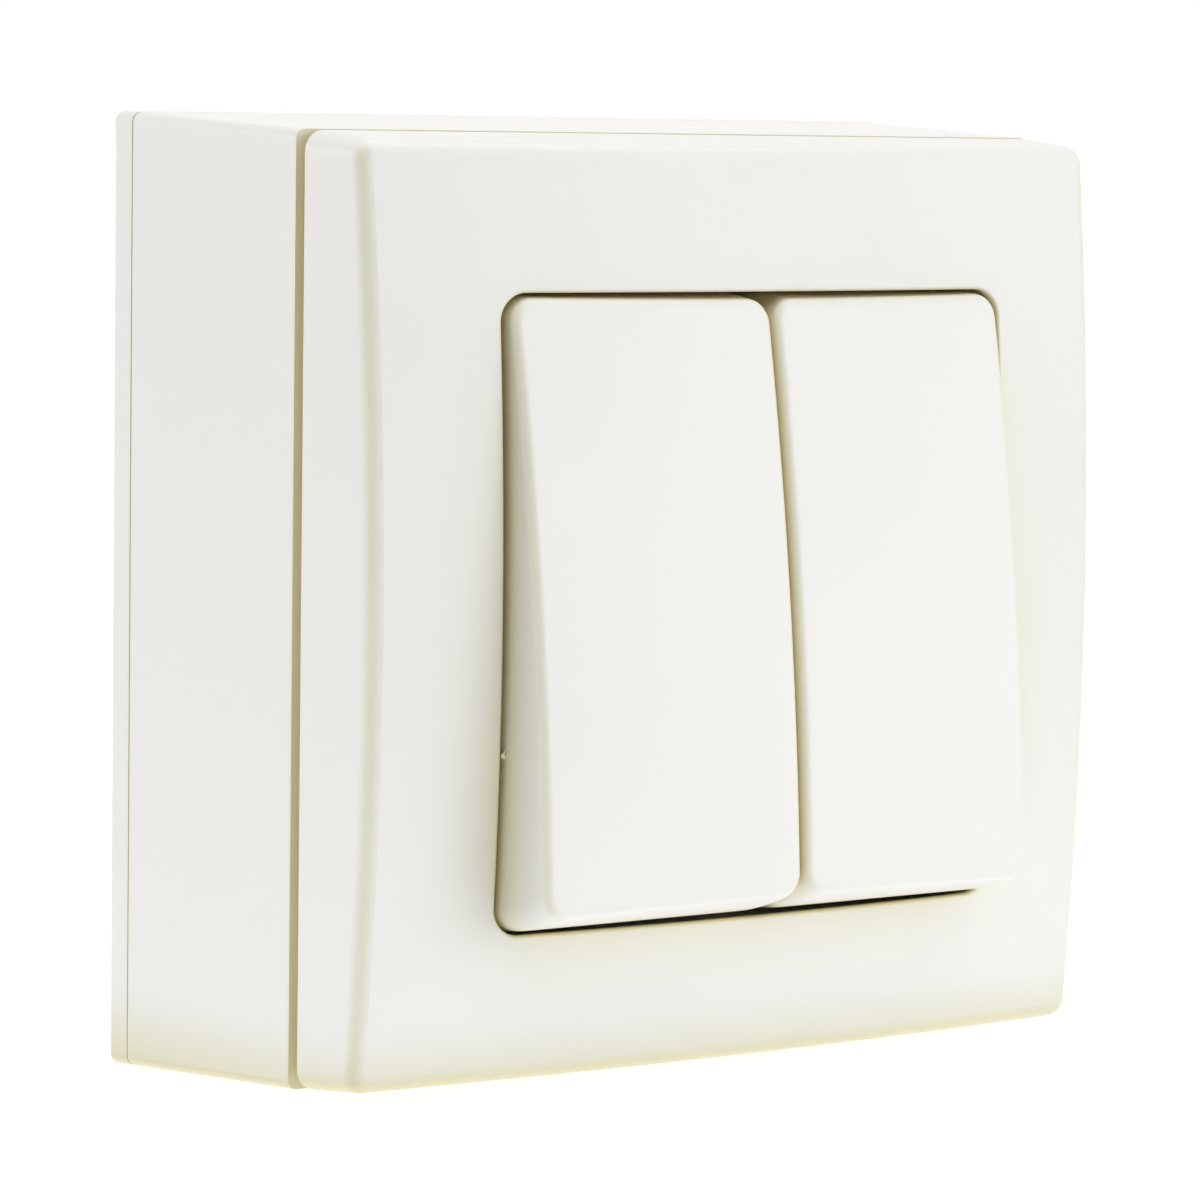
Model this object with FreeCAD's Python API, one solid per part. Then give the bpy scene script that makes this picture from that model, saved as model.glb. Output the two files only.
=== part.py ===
import FreeCAD, Part
import math
import os

from FreeCAD import Vector

# Surface mounted light switch with two rockers, in millimetres.
# The origin is the middle of the wall face. The front looks along -Y and +Z is up,
# so a depth counts from the wall towards the front and y is minus that depth.

# Outline of the whole body
opening_side = 55.0
frame_border = 15.05
draft_across = 3.85
draft_upright = 3.0
frame_draft_upright = 5.3
corner_radius = 0.9
inner_corner = 0.8

# Wall plate
plate_thickness = 3.0
plate_edge_radius = 0.7
plate_recess = 0.6
plate_rim = 4.0
locating_rim_height = 2.4
locating_rim_wall = 1.3
rim_break = 14.0
cable_entry_radius = 10.0
cable_entry_drop = 15.0
centre_pad_radius = 4.5
wall_screw_spacing = 60.0
wall_slot_length = 8.0
wall_slot_width = 4.4
wall_pad_radius = 6.0

# Surface box
box_depth = 26.9
box_wall = 2.0
seam_width = 0.15
seam_inset = 0.15
groove_width = 0.8
groove_inset = 0.9
knockout_radius = 8.0
knockout_skin = 0.8
pillar_width = 7.2
pillar_length = 17.2
corner_screw_inset = 8.9
corner_flange_side = 9.5
corner_flange_thickness = 2.0
corner_boss_height = 3.4
corner_boss_radius = 3.2

# Cover frame
frame_height = 13.3
face_radius_upright = 370.0
face_radius_across = 250.0
frame_side_wall = 2.4
frame_face_wall = 2.2
frame_corner_radius = 1.8
frame_edge_radius = 1.5
frame_back_radius = 0.6
opening_corner = 2.6
opening_lip = 0.8
opening_relief = 0.6
opening_edge_radius = 0.25
skirt_wall = 1.1
skirt_length = 7.5
frame_rib = 1.0
frame_rib_place = 10.0
tongue_place = 15.0
tongue_margin = 4.0
tongue_width = 6.0
tongue_thickness = 1.6
tongue_length = 1.2
tongue_barb = 0.5
tongue_barb_length = 0.9

# Mounting strap
strap_margin = 2.6
strap_thickness = 1.0
strap_corner = 4.0
strap_window_corner = 1.5
strap_screw_margin = 6.6
strap_slot_length = 6.0
strap_flange_width = 24.0
strap_flange_depth = 2.6

# Mechanism housing
housing_ledge = 0.5
housing_corner = 2.0
housing_depth = 19.2
housing_wall = 2.0
housing_floor = 1.8
partition_wall = 1.6
partition_setback = 3.2
post_side = 5.0
wire_hole_radius = 1.6
cover_thickness = 1.0
cover_step = 0.4
plug_length = 2.7
plug_wall = 1.2
tube_window_width = 8.0
tube_window_height = 8.3
bearing_wall = 1.5
bearing_half_width = 3.4
bearing_height = 1.9

# Rockers
rest_tilt = 6.65
pivot_height = 7.3
rocker_gap = 0.3
rocker_side_gap = 0.35
rocker_end_gap = 0.3
rocker_rise = 9.6
rocker_skirt = 1.9
rocker_wall = 1.7
rocker_face_wall = 1.8
rocker_draft = 2.5
rocker_corner = 2.2
rocker_edge_radius = 0.9
rocker_radius_upright = 353.0
rocker_radius_across = 260.0
rocker_rib = 1.2
rocker_rib_place = 6.0
rocker_rib_inset = 1.0
long_rib_place = 5.5
long_rib_height = 2.2
long_rib_margin = 2.6
clip_width = 8.0
clip_thickness = 1.2
clip_hook = 0.6
clip_hook_height = 0.6
bearing_notch_half_width = 5.2
bearing_notch_rise = 3.1

# Carriers, plungers and springs
carrier_side_gap = 0.35
carrier_outer_margin = 4.35
carrier_half_height = 9.0
carrier_plate_rise = 1.5
carrier_plate = 2.4
cheek_thickness = 1.8
cheek_half_width = 3.0
cheek_reach = 2.3
trunnion_radius = 1.6
tube_radius = 3.4
tube_clearance = 3.3
bore_radius = 2.05
bore_end_wall = 0.4
plunger_gap = 0.1
plunger_tip_radius = 1.3
plunger_shank_length = 3.6
plunger_stub_radius = 0.9
plunger_stub_length = 1.5
plunger_travel = 0.5
spring_mean_radius = 1.45
spring_wire_radius = 0.28
spring_turns = 6

# Contacts and terminals
contact_gap = 0.389
bridge_rest_tilt = 6.0
bridge_length = 17.0
bridge_width = 4.4
bridge_thickness = 0.8
knife_radius = 0.4
rivet_place = 6.8
rivet_radius = 1.5
rivet_shank_radius = 0.8
rivet_height = 0.7
strip_thickness = 0.8
strip_width = 4.4
strip_overhang = 2.0
fulcrum_bar_half_height = 1.6
fixed_rivet_height = 1.0
clamp_margin = 1.2
clamp_width = 7.0
clamp_height = 6.0
clamp_length = 6.6
clamp_rise = 0.8
clamp_wall = 1.2

# Screws
screw_radius = 1.5
screw_head_radius = 2.9
screw_head_height = 2.0
screw_length = 11.0
driver_slot_width = 0.7
driver_slot_depth = 0.9
clamp_screw_radius = 1.4
clamp_screw_head_radius = 2.3
clamp_screw_head_height = 1.8
clamp_screw_reach = 1.8

# Fits
seat_gap = 0.3
slide_gap = 0.2
running_gap = 0.05
screw_tip_room = 1.0
screw_hole_floor = 1.0

# Working values for cutting shapes, for crowns that run on past the body,
# and for picking the faces and edges that get rounded
spare_length = 10.0
cut_past = 1.0
spare_angle = 1.0
front_facing = 0.7
closeness = 1e-4

# Places worked out from the sizes above
rear_side = opening_side + 2 * frame_border
strap_back = box_depth + groove_width
strap_front = strap_back + strap_thickness
frame_face_depth = strap_back + frame_height
ahead = frame_face_depth + spare_length
skirt_back = frame_face_depth - skirt_length
tongue_distance = opening_side / 2 + tongue_margin
pivot_depth = strap_back + pivot_height
rocker_face_depth = pivot_depth + rocker_rise
rocker_back = pivot_depth - rocker_skirt
rocker_width = (opening_side - rocker_gap) / 2 - rocker_side_gap
bearing_notch_front = pivot_depth + bearing_notch_rise
carrier_inner = rocker_gap / 2 + rocker_wall + carrier_side_gap
carrier_outer = rocker_gap / 2 + rocker_width - rocker_wall - carrier_outer_margin
carrier_centre = (carrier_inner + carrier_outer) / 2
carrier_plate_back = pivot_depth + carrier_plate_rise
carrier_plate_front = carrier_plate_back + carrier_plate
cheek_back = pivot_depth - cheek_reach
bearing_front = pivot_depth + bearing_height
bearing_inner = carrier_outer + seat_gap
housing_side = 2 * (bearing_inner + bearing_wall + housing_ledge)
housing_back = strap_back - housing_depth
housing_floor_front = housing_back + housing_floor
partition_front = strap_back - partition_setback
cover_side = housing_side - 2 * cover_step
cover_front = strap_front + cover_thickness
plug_side = housing_side - 2 * housing_wall - 2 * slide_gap
plug_back = strap_front - plug_length
strap_window = plug_side + 2 * seat_gap
strap_screw_place = housing_side / 2 + strap_screw_margin
pillar_back = strap_back - pillar_length
clamp_back = housing_floor_front + clamp_rise
clamp_front = clamp_back + clamp_length
clamp_place = housing_side / 2 - housing_wall - clamp_margin - clamp_height / 2
clamp_screw_tip = clamp_back + clamp_screw_reach
strip_front = clamp_front - clamp_wall - seat_gap
strip_back = strip_front - strip_thickness
strip_start = rivet_place - strip_overhang
strip_end = clamp_place + clamp_height / 2 - slide_gap
fulcrum_depth = (strip_front + fixed_rivet_height + rivet_height + contact_gap
                 + rivet_place * math.sin(math.radians(bridge_rest_tilt)))
bridge_back = fulcrum_depth
bridge_front = fulcrum_depth + bridge_thickness
tube_back = bridge_front + tube_clearance
bore_front = carrier_plate_back - bore_end_wall
plunger_tip_back = bridge_front + plunger_gap
plunger_shank_back = tube_back + seat_gap
plunger_shank_front = plunger_shank_back + plunger_shank_length
corner_screw_place = rear_side / 2 - corner_screw_inset
corner_flange_back = plate_thickness + corner_boss_height
corner_flange_front = corner_flange_back + corner_flange_thickness
SIDES = {"left": -1, "right": 1}


def outline(depth, inset=0.0):
    """Width and height of the drafted body at a depth, drawn in by an inset."""
    in_frame = max(depth - strap_back, 0)
    taper = (depth - in_frame) * math.tan(math.radians(draft_upright))
    taper += in_frame * math.tan(math.radians(frame_draft_upright))
    width = rear_side - 2 * depth * math.tan(math.radians(draft_across)) - 2 * inset
    return width, rear_side - 2 * taper - 2 * inset


def rounded_rectangle(width, height, radius, depth, x=0.0, z=0.0):
    """Closed wire with round corners, square to the depth."""
    arcs = []
    for side_x, side_z, start in ((1, 1, 0), (-1, 1, 90), (-1, -1, 180), (1, -1, 270)):
        centre_x = x + side_x * (width / 2 - radius)
        centre_z = z + side_z * (height / 2 - radius)
        points = []
        for turn in (0, 45, 90):
            angle = math.radians(start + turn)
            points.append(Vector(centre_x + radius * math.cos(angle), -depth,
                                 centre_z + radius * math.sin(angle)))
        arcs.append(points)
    edges = []
    for arc, following in zip(arcs, arcs[1:] + arcs[:1]):
        edges.append(Part.Arc(*arc).toShape())
        edges.append(Part.makeLine(arc[2], following[0]))
    return Part.Wire(edges)


def block(x_low, x_high, back, front, z_low, z_high):
    """Box between two depths."""
    return Part.makeBox(x_high - x_low, front - back, z_high - z_low, Vector(x_low, -front, z_low))


def centred_block(x, z, width, height, back, front):
    """Box round a point, between two depths."""
    return block(x - width / 2, x + width / 2, back, front, z - height / 2, z + height / 2)


def rounded_block(width, height, radius, back, front, x=0.0, z=0.0):
    """Prism with round corners, between two depths."""
    face = Part.Face(rounded_rectangle(width, height, radius, back, x, z))
    return face.extrude(Vector(0, back - front, 0))


def post(radius, x, z, back, front):
    """Cylinder square to the wall."""
    return Part.makeCylinder(radius, front - back, Vector(x, -front, z), Vector(0, 1, 0))


def slot(length, width, back, front, x, z, upright=False):
    """Slot with round ends, lying across or upright."""
    reach = (length - width) / 2
    step_x, step_z = (0, reach) if upright else (reach, 0)
    straight = (width, 2 * reach) if upright else (2 * reach, width)
    shape = centred_block(x, z, *straight, back, front)
    for side in (-1, 1):
        shape = shape.fuse(post(width / 2, x + side * step_x, z + side * step_z, back, front))
    return shape.removeSplitter()


def tapered_block(back_low, back_high, front_low, front_high, back, front):
    """Block between two depths, with its own low and high corner (x, z) at each of them."""
    solid = Part.makeWedge(back_low[0], 0, -back_high[1], -front_high[1], front_low[0],
                           back_high[0], front - back, -back_low[1], -front_low[1], front_high[0])
    solid.rotate(Vector(0, 0, 0), Vector(1, 0, 0), 180)
    solid.translate(Vector(0, -back, 0))
    return solid


def body_block(back, front, inset=0.0, corner=corner_radius):
    """Solid that follows the drafted outline, drawn in by an inset, with round corners."""
    width, height = outline(back, inset)
    front_width, front_height = outline(front, inset)
    solid = tapered_block((-width / 2, -height / 2), (width / 2, height / 2),
                          (-front_width / 2, -front_height / 2), (front_width / 2, front_height / 2),
                          back, front)
    corners = [edge for edge in solid.Edges if edge.BoundBox.YLength > (front - back) / 2]
    return solid.makeFillet(corner, corners)


def crowned_slab(apex, radius_upright, radius_across, half_width):
    """Solid from the wall to a front that is crowned across and upright."""
    sag = radius_across - math.sqrt(radius_across ** 2 - half_width ** 2)
    low = Vector(-half_width, sag - apex, 0)
    high = Vector(half_width, sag - apex, 0)
    edges = [
        Part.Arc(low, Vector(0, -apex, 0), high).toShape(),
        Part.makeLine(high, Vector(half_width, 0, 0)),
        Part.makeLine(Vector(half_width, 0, 0), Vector(-half_width, 0, 0)),
        Part.makeLine(Vector(-half_width, 0, 0), low),
    ]
    face = Part.Face(Part.Wire(edges))
    centre = Vector(0, radius_upright - apex, 0)
    half_angle = math.degrees(math.asin(rear_side / 2 / (radius_upright - apex))) + spare_angle
    face.rotate(centre, Vector(1, 0, 0), -half_angle)
    return face.revolve(centre, Vector(1, 0, 0), 2 * half_angle)


def frame_crown(setback=0.0):
    """Slab behind the cover frame's face, set back by a wall."""
    return crowned_slab(frame_face_depth - setback, face_radius_upright - setback,
                        face_radius_across - setback, rear_side / 2)


def rocker_crown(setback=0.0):
    """Slab behind the rockers' shared face, set back by a wall, with both rockers level."""
    return crowned_slab(rocker_face_depth - setback, rocker_radius_upright - setback,
                        rocker_radius_across - setback, opening_side / 2)


def front_face(solid):
    """The largest face on the front of a solid."""
    middle = solid.Solids[0].CenterOfMass
    faces = [face for face in solid.Faces if face.CenterOfMass.y < middle.y]
    upright = [face for face in faces if abs(face.normalAt(*middle_of(face)).y) > front_facing]
    return max(upright, key=lambda face: face.Area)


def middle_of(face):
    """Parameters of the middle of a face."""
    u_low, u_high, v_low, v_high = face.ParameterRange
    return (u_low + u_high) / 2, (v_low + v_high) / 2


def edges_at_depth(solid, depth):
    """Edges that lie in one plane square to the wall's normal."""
    found = []
    for edge in solid.Edges:
        box = edge.BoundBox
        if max(abs(box.YMin + depth), abs(box.YMax + depth)) < closeness:
            found.append(edge)
    return found


def tilt(shape, degrees, depth):
    """Turn a shape about the crosswise axis at a depth."""
    shape.rotate(Vector(0, -depth, 0), Vector(1, 0, 0), degrees)
    return shape


def mirrored(shape, side):
    """The shape as built for the right, or its mirror image for the left."""
    if side > 0:
        return shape
    return shape.mirror(Vector(0, 0, 0), Vector(1, 0, 0))


def base_plate():
    """Wall plate with a recessed back, cable entry, screw slots, locating rim and bosses."""
    plate = body_block(0.0, plate_thickness)
    plate = plate.makeFillet(plate_edge_radius, edges_at_depth(plate, 0.0))
    width, height = outline(0.0, plate_rim)
    recess = rounded_block(width, height, corner_radius, 0.0, plate_recess)
    recess = recess.cut(post(cable_entry_radius + plate_rim / 2, 0, -cable_entry_drop, 0.0, plate_recess))
    recess = recess.cut(post(centre_pad_radius, 0, 0, 0.0, plate_recess))
    for side in (-1, 1):
        recess = recess.cut(post(wall_pad_radius, side * wall_screw_spacing / 2, 0, 0.0, plate_recess))
    plate = plate.cut(recess)
    plate = plate.fuse(locating_rim())
    for side in (-1, 1):
        place = side * corner_screw_place
        boss = post(corner_boss_radius, place, -place, plate_thickness, corner_flange_back)
        plate = plate.fuse(boss)
        plate = plate.cut(post(screw_radius + running_gap, place, -place,
                               plate_recess + screw_hole_floor, corner_flange_back))
        wall_slot = slot(wall_slot_length, wall_slot_width, 0.0, plate_thickness,
                         side * wall_screw_spacing / 2, 0)
        plate = plate.cut(wall_slot)
    plate = plate.cut(post(cable_entry_radius, 0, -cable_entry_drop, 0.0, plate_thickness))
    return plate.removeSplitter()


def locating_rim():
    """Rim on the wall plate that the box slips over, broken at the middle of each side."""
    front = plate_thickness + locating_rim_height
    width, height = outline(front, box_wall + slide_gap)
    inner_width = width - 2 * locating_rim_wall
    inner_height = height - 2 * locating_rim_wall
    rim = rounded_block(width, height, inner_corner, plate_thickness, front)
    rim = rim.cut(rounded_block(inner_width, inner_height, inner_corner, plate_thickness, front))
    rim = rim.cut(centred_block(0, 0, rim_break, rear_side, plate_thickness, front))
    return rim.cut(centred_block(0, 0, rear_side, rim_break, plate_thickness, front))


def surface_box():
    """Drafted box body with a stepped front rim, strap pillars and corner flanges."""
    seam_front = plate_thickness + seam_width
    body = body_block(seam_front, box_depth)
    body = body.fuse(body_block(plate_thickness, seam_front, seam_inset))
    body = body.fuse(body_block(box_depth, strap_back, groove_inset))
    body = body.cut(body_block(plate_thickness, strap_back, box_wall, inner_corner))
    for side in (-1, 1):
        body = body.cut(knockout(side))
    for side in (-1, 1):
        body = body.fuse(strap_pillar(side))
        body = body.fuse(corner_flange(side))
    return body.removeSplitter()


def knockout(side):
    """Pocket inside the top or bottom wall that leaves a thin skin to break out."""
    middle = (plate_thickness + box_depth) / 2
    height = outline(middle)[1]
    outer_skin = height / 2 - knockout_skin
    pocket = Part.makeCylinder(knockout_radius, 2 * box_wall,
                               Vector(0, -middle, outer_skin - 2 * box_wall), Vector(0, 0, 1))
    pocket.rotate(Vector(0, -middle, outer_skin), Vector(1, 0, 0), draft_upright)
    if side < 0:
        pocket = pocket.mirror(Vector(0, 0, 0), Vector(0, 0, 1))
    return pocket


def strap_pillar(side):
    """Pillar on a side wall that takes a strap screw."""
    place = side * strap_screw_place
    inner = place - side * pillar_width / 2
    wall = side * (outline(strap_back, box_wall / 2 + groove_inset)[0] / 2)
    low, high = sorted((inner, wall))
    pillar = block(low, high, pillar_back, strap_back, -pillar_width / 2, pillar_width / 2)
    hole_end = strap_front - screw_length - screw_tip_room
    hole = post(screw_radius + running_gap, place, 0, hole_end, strap_back)
    return pillar.cut(hole)


def corner_flange(side):
    """Ledge in a corner of the box that is screwed to the wall plate."""
    place = side * corner_screw_place
    wall = outline(corner_flange_front, box_wall / 2)
    reach = corner_screw_place - corner_flange_side / 2
    x_low, x_high = sorted((side * reach, side * wall[0] / 2))
    z_low, z_high = sorted((-side * reach, -side * wall[1] / 2))
    ledge = block(x_low, x_high, corner_flange_back, corner_flange_front, z_low, z_high)
    ledge = ledge.common(body_block(corner_flange_back, corner_flange_front, box_wall / 2))
    return ledge.cut(post(screw_radius + slide_gap, place, -place, corner_flange_back, corner_flange_front))


def cover_frame():
    """Frame with a face crowned both ways, a square opening with a skirt, ribs and latch tongues."""
    outer = body_block(strap_back, ahead, corner=frame_corner_radius).common(frame_crown())
    outer = outer.makeFillet(frame_edge_radius, front_face(outer).Edges)
    outer = outer.makeFillet(frame_back_radius, edges_at_depth(outer, strap_back))
    inner = body_block(strap_back, ahead, frame_side_wall, inner_corner).common(frame_crown(frame_face_wall))
    frame = outer.cut(inner)
    inside = outer.common(frame_crown(frame_face_wall / 2))
    frame = frame.fuse(skirt_and_ribs().common(inside))
    for side_x in (-1, 1):
        for side_z in (-1, 1):
            frame = frame.fuse(latch_tongue(side_x, side_z).common(frame_crown(frame_face_wall / 2)))
    frame = frame.cut(frame_opening())
    return soften_opening(frame.removeSplitter())


def soften_opening(frame):
    """Break the sharp edge of the opening on the crowned face."""
    half = opening_side / 2 + opening_edge_radius
    found = []
    for edge in front_face(frame).Edges:
        box = edge.BoundBox
        if max(abs(box.XMin), abs(box.XMax), abs(box.ZMin), abs(box.ZMax)) < half:
            found.append(edge)
    return frame.makeFillet(opening_edge_radius, found)


def frame_opening():
    """Square opening with round corners, relieved behind its lip."""
    opening = rounded_block(opening_side, opening_side, opening_corner, strap_back, ahead)
    relieved = opening_side + 2 * opening_relief
    relief = rounded_block(relieved, relieved, opening_corner + opening_relief, strap_back, ahead)
    return opening.fuse(relief.common(frame_crown(opening_lip)))


def skirt_and_ribs():
    """Skirt round the opening and the ribs that tie it to the outer wall."""
    side = opening_side + 2 * opening_relief + 2 * skirt_wall
    solid = rounded_block(side, side, opening_corner + opening_relief + skirt_wall, skirt_back, ahead)
    for place in (-frame_rib_place, frame_rib_place):
        solid = solid.fuse(centred_block(place, 0, frame_rib, rear_side, skirt_back, ahead))
        solid = solid.fuse(centred_block(0, place, rear_side, frame_rib, skirt_back, ahead))
    return solid


def latch_tongue(side_x, side_z):
    """Tongue that snaps through a slot of the strap."""
    x = side_x * tongue_place
    z = side_z * tongue_distance
    back = strap_back - tongue_length
    tongue = centred_block(x, z, tongue_width, tongue_thickness, back, ahead)
    barb_z = z + side_z * (tongue_thickness + tongue_barb) / 2
    barb = centred_block(x, barb_z, tongue_width, tongue_barb, back, back + tongue_barb_length)
    return tongue.fuse(barb)


def support_plate():
    """Steel strap with a window, screw slots, latch slots and two bent edges."""
    strap_side = outline(strap_front, frame_side_wall + strap_margin)[0]
    plate = rounded_block(strap_side, strap_side, strap_corner, strap_back, strap_front)
    for side in (-1, 1):
        edge_z = side * (strap_side - strap_thickness) / 2
        plate = plate.fuse(centred_block(0, edge_z, strap_flange_width, strap_thickness,
                                         strap_back - strap_flange_depth, strap_front))
    plate = plate.cut(rounded_block(strap_window, strap_window, strap_window_corner,
                                    strap_back, strap_front))
    width = 2 * (screw_radius + slide_gap)
    for side in (-1, 1):
        place = side * strap_screw_place
        plate = plate.cut(slot(strap_slot_length, width, strap_back, strap_front, place, 0, True))
        plate = plate.cut(slot(strap_slot_length, width, strap_back, strap_front, 0, place))
        for side_x in (-1, 1):
            plate = plate.cut(centred_block(side_x * tongue_place, side * tongue_distance,
                                            tongue_width + 2 * seat_gap, tongue_thickness + 2 * seat_gap,
                                            strap_back, strap_front))
    return plate.removeSplitter()


def terminal_places():
    """Name and place of each clamp block."""
    return {
        "line": (0.0, -clamp_place),
        "left_load": (-carrier_centre, clamp_place),
        "right_load": (carrier_centre, clamp_place),
    }


def mechanism_base():
    """Insulating cup with a partition, posts under the strips, pads and wire holes."""
    base = rounded_block(housing_side, housing_side, housing_corner, housing_back, strap_back)
    inner = housing_side - 2 * housing_wall
    base = base.cut(rounded_block(inner, inner, housing_corner / 2, housing_floor_front, strap_back))
    partition = block(-partition_wall / 2, partition_wall / 2, housing_floor_front, partition_front,
                      fulcrum_bar_half_height + seat_gap, inner / 2)
    base = base.fuse(partition)
    posts = [(0.0, -(strip_start + clamp_place) / 2)]
    for side in (-1, 1):
        posts.append((side * carrier_centre, 0.0))
        posts.append((side * carrier_centre, rivet_place))
    for x, z in posts:
        height = post_side if z else 2 * fulcrum_bar_half_height
        base = base.fuse(centred_block(x, z, post_side, height, housing_floor_front, strip_back))
    for x, z in terminal_places().values():
        base = base.fuse(post(clamp_width / 2, x, z, housing_floor_front, clamp_back))
        base = base.cut(post(clamp_screw_head_radius + seat_gap, x, z, housing_back, clamp_back))
        middle = (clamp_back + clamp_wall + strip_back) / 2
        start = Vector(x, -middle, math.copysign(inner / 2 - cut_past, z))
        hole = Part.makeCylinder(wire_hole_radius, housing_wall + 2 * cut_past, start, Vector(0, 0, z))
        base = base.cut(hole)
    return base.removeSplitter()


def mechanism_cover():
    """Insulating cover with a plug rim, two tube windows and three bearing walls."""
    cover = rounded_block(cover_side, cover_side, housing_corner, strap_front, cover_front)
    plug = rounded_block(plug_side, plug_side, housing_corner / 2, plug_back, strap_front)
    plug_inner = plug_side - 2 * plug_wall
    cover = cover.fuse(plug.cut(rounded_block(plug_inner, plug_inner, housing_corner / 2,
                                              plug_back, strap_front)))
    for place in (-bearing_inner - bearing_wall / 2, 0.0, bearing_inner + bearing_wall / 2):
        wall = centred_block(place, 0, bearing_wall, 2 * bearing_half_width, cover_front, bearing_front)
        cover = cover.fuse(wall)
    for side in (-1, 1):
        cover = cover.cut(centred_block(side * carrier_centre, 0, tube_window_width,
                                        tube_window_height, strap_front, cover_front))
    reach = bearing_inner + bearing_wall
    bore = Part.makeCylinder(trunnion_radius + running_gap, 2 * reach,
                             Vector(-reach, -pivot_depth, 0), Vector(1, 0, 0))
    return cover.cut(bore).removeSplitter()


def rocker(side):
    """Hollow rocker cap with a crowned face, round ends, ribs and clips."""
    low = rocker_gap / 2
    high = low + rocker_width
    end_radius = rocker_end_radius()
    outer = rocker_body(low, high, rocker_back, end_radius, 0.0)
    outer = outer.makeFillet(rocker_corner, corner_edges(outer))
    outer = outer.makeFillet(rocker_edge_radius, front_face(outer).Edges)
    inner = rocker_body(low + rocker_wall, high - rocker_wall, rocker_back,
                        end_radius - rocker_wall, rocker_face_wall)
    cap = outer.cut(inner)
    cap = cap.fuse(rocker_inside().common(rocker_crown(rocker_face_wall / 2)))
    notch = block(low, low + rocker_wall, rocker_back, bearing_notch_front,
                  -bearing_notch_half_width, bearing_notch_half_width)
    cap = cap.cut(notch).removeSplitter()
    return mirrored(tilt(cap, -rest_tilt, pivot_depth), side)


def rocker_end_radius():
    """Radius of the rockers' round ends, which clear the opening's lip at its corners."""
    half = opening_side / 2
    sag = half ** 2 / 2 * (1 / face_radius_upright + 1 / face_radius_across)
    lip_back = frame_face_depth - sag - opening_lip
    return math.hypot(half, lip_back - pivot_depth) - rocker_end_gap


def rocker_body(low, high, back, end_radius, setback):
    """Rocker outline with a drafted outer side and ends that are round about the pivot."""
    lean = (ahead - back) * math.tan(math.radians(rocker_draft))
    solid = tapered_block((low, -opening_side), (high, opening_side),
                          (low, -opening_side), (high - lean, opening_side), back, ahead)
    ends = Part.makeCylinder(end_radius, high - low, Vector(low, -pivot_depth, 0), Vector(1, 0, 0))
    return solid.common(ends).common(rocker_crown(setback))


def corner_edges(solid):
    """The four edges between a rocker's round ends and its flat sides."""
    found = []
    for edge in solid.Edges:
        box = edge.BoundBox
        if box.XLength < rocker_width / 2 and box.ZMin * box.ZMax > 0:
            found.append(edge)
    return found


def rocker_inside():
    """Ribs that rest on the carrier, long ribs and the clips that hold it."""
    shapes = []
    rib_width = carrier_outer - carrier_inner - 2 * rocker_rib_inset
    long_rib_length = 2 * (rocker_end_radius() - rocker_wall - long_rib_margin)
    long_rib_back = rocker_face_depth - rocker_face_wall - long_rib_height
    for side in (-1, 1):
        shapes.append(centred_block(carrier_centre, side * rocker_rib_place, rib_width, rocker_rib,
                                    carrier_plate_front, ahead))
        shapes.append(centred_block(carrier_centre + side * long_rib_place, 0, rocker_rib,
                                    long_rib_length, long_rib_back, ahead))
        leg_z = side * (carrier_half_height + slide_gap + clip_thickness / 2)
        hook_back = carrier_plate_back - slide_gap - clip_hook_height
        shapes.append(centred_block(carrier_centre, leg_z, clip_width, clip_thickness, hook_back, ahead))
        hook_z = side * (carrier_half_height + slide_gap - clip_hook / 2)
        shapes.append(centred_block(carrier_centre, hook_z, clip_width, clip_hook,
                                    hook_back, hook_back + clip_hook_height))
    return shapes[0].multiFuse(shapes[1:])


def carrier(side):
    """Toggle with a plate for the cap, two cheeks with trunnions and a plunger tube."""
    body = block(carrier_inner, carrier_outer, carrier_plate_back, carrier_plate_front,
                 -carrier_half_height, carrier_half_height)
    for low, high in ((carrier_inner, carrier_inner + cheek_thickness),
                      (carrier_outer - cheek_thickness, carrier_outer)):
        body = body.fuse(block(low, high, cheek_back, carrier_plate_back,
                               -cheek_half_width, cheek_half_width))
    body = body.fuse(post(tube_radius, carrier_centre, 0, tube_back, carrier_plate_back))
    body = body.cut(post(bore_radius, carrier_centre, 0, tube_back, bore_front))
    inner_end = rocker_gap / 2
    outer_end = bearing_inner + bearing_wall - seat_gap
    for low, high in ((inner_end, carrier_inner), (carrier_outer, outer_end)):
        body = body.fuse(Part.makeCylinder(trunnion_radius, high - low,
                                           Vector(low, -pivot_depth, 0), Vector(1, 0, 0)))
    return mirrored(tilt(body.removeSplitter(), -rest_tilt, pivot_depth), side)


def plunger(side):
    """Plunger with a round tip, a shank in the tube and a stub inside the spring."""
    tip_centre = plunger_tip_back + plunger_tip_radius
    body = post(plunger_tip_radius, carrier_centre, 0, tip_centre, plunger_shank_back)
    body = body.fuse(Part.makeSphere(plunger_tip_radius, Vector(carrier_centre, -tip_centre, 0)))
    body = body.fuse(post(bore_radius - running_gap, carrier_centre, 0,
                          plunger_shank_back, plunger_shank_front))
    body = body.fuse(post(plunger_stub_radius, carrier_centre, 0,
                          plunger_shank_front, plunger_shank_front + plunger_stub_length))
    return mirrored(tilt(body.removeSplitter(), -rest_tilt, pivot_depth), side)


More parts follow.
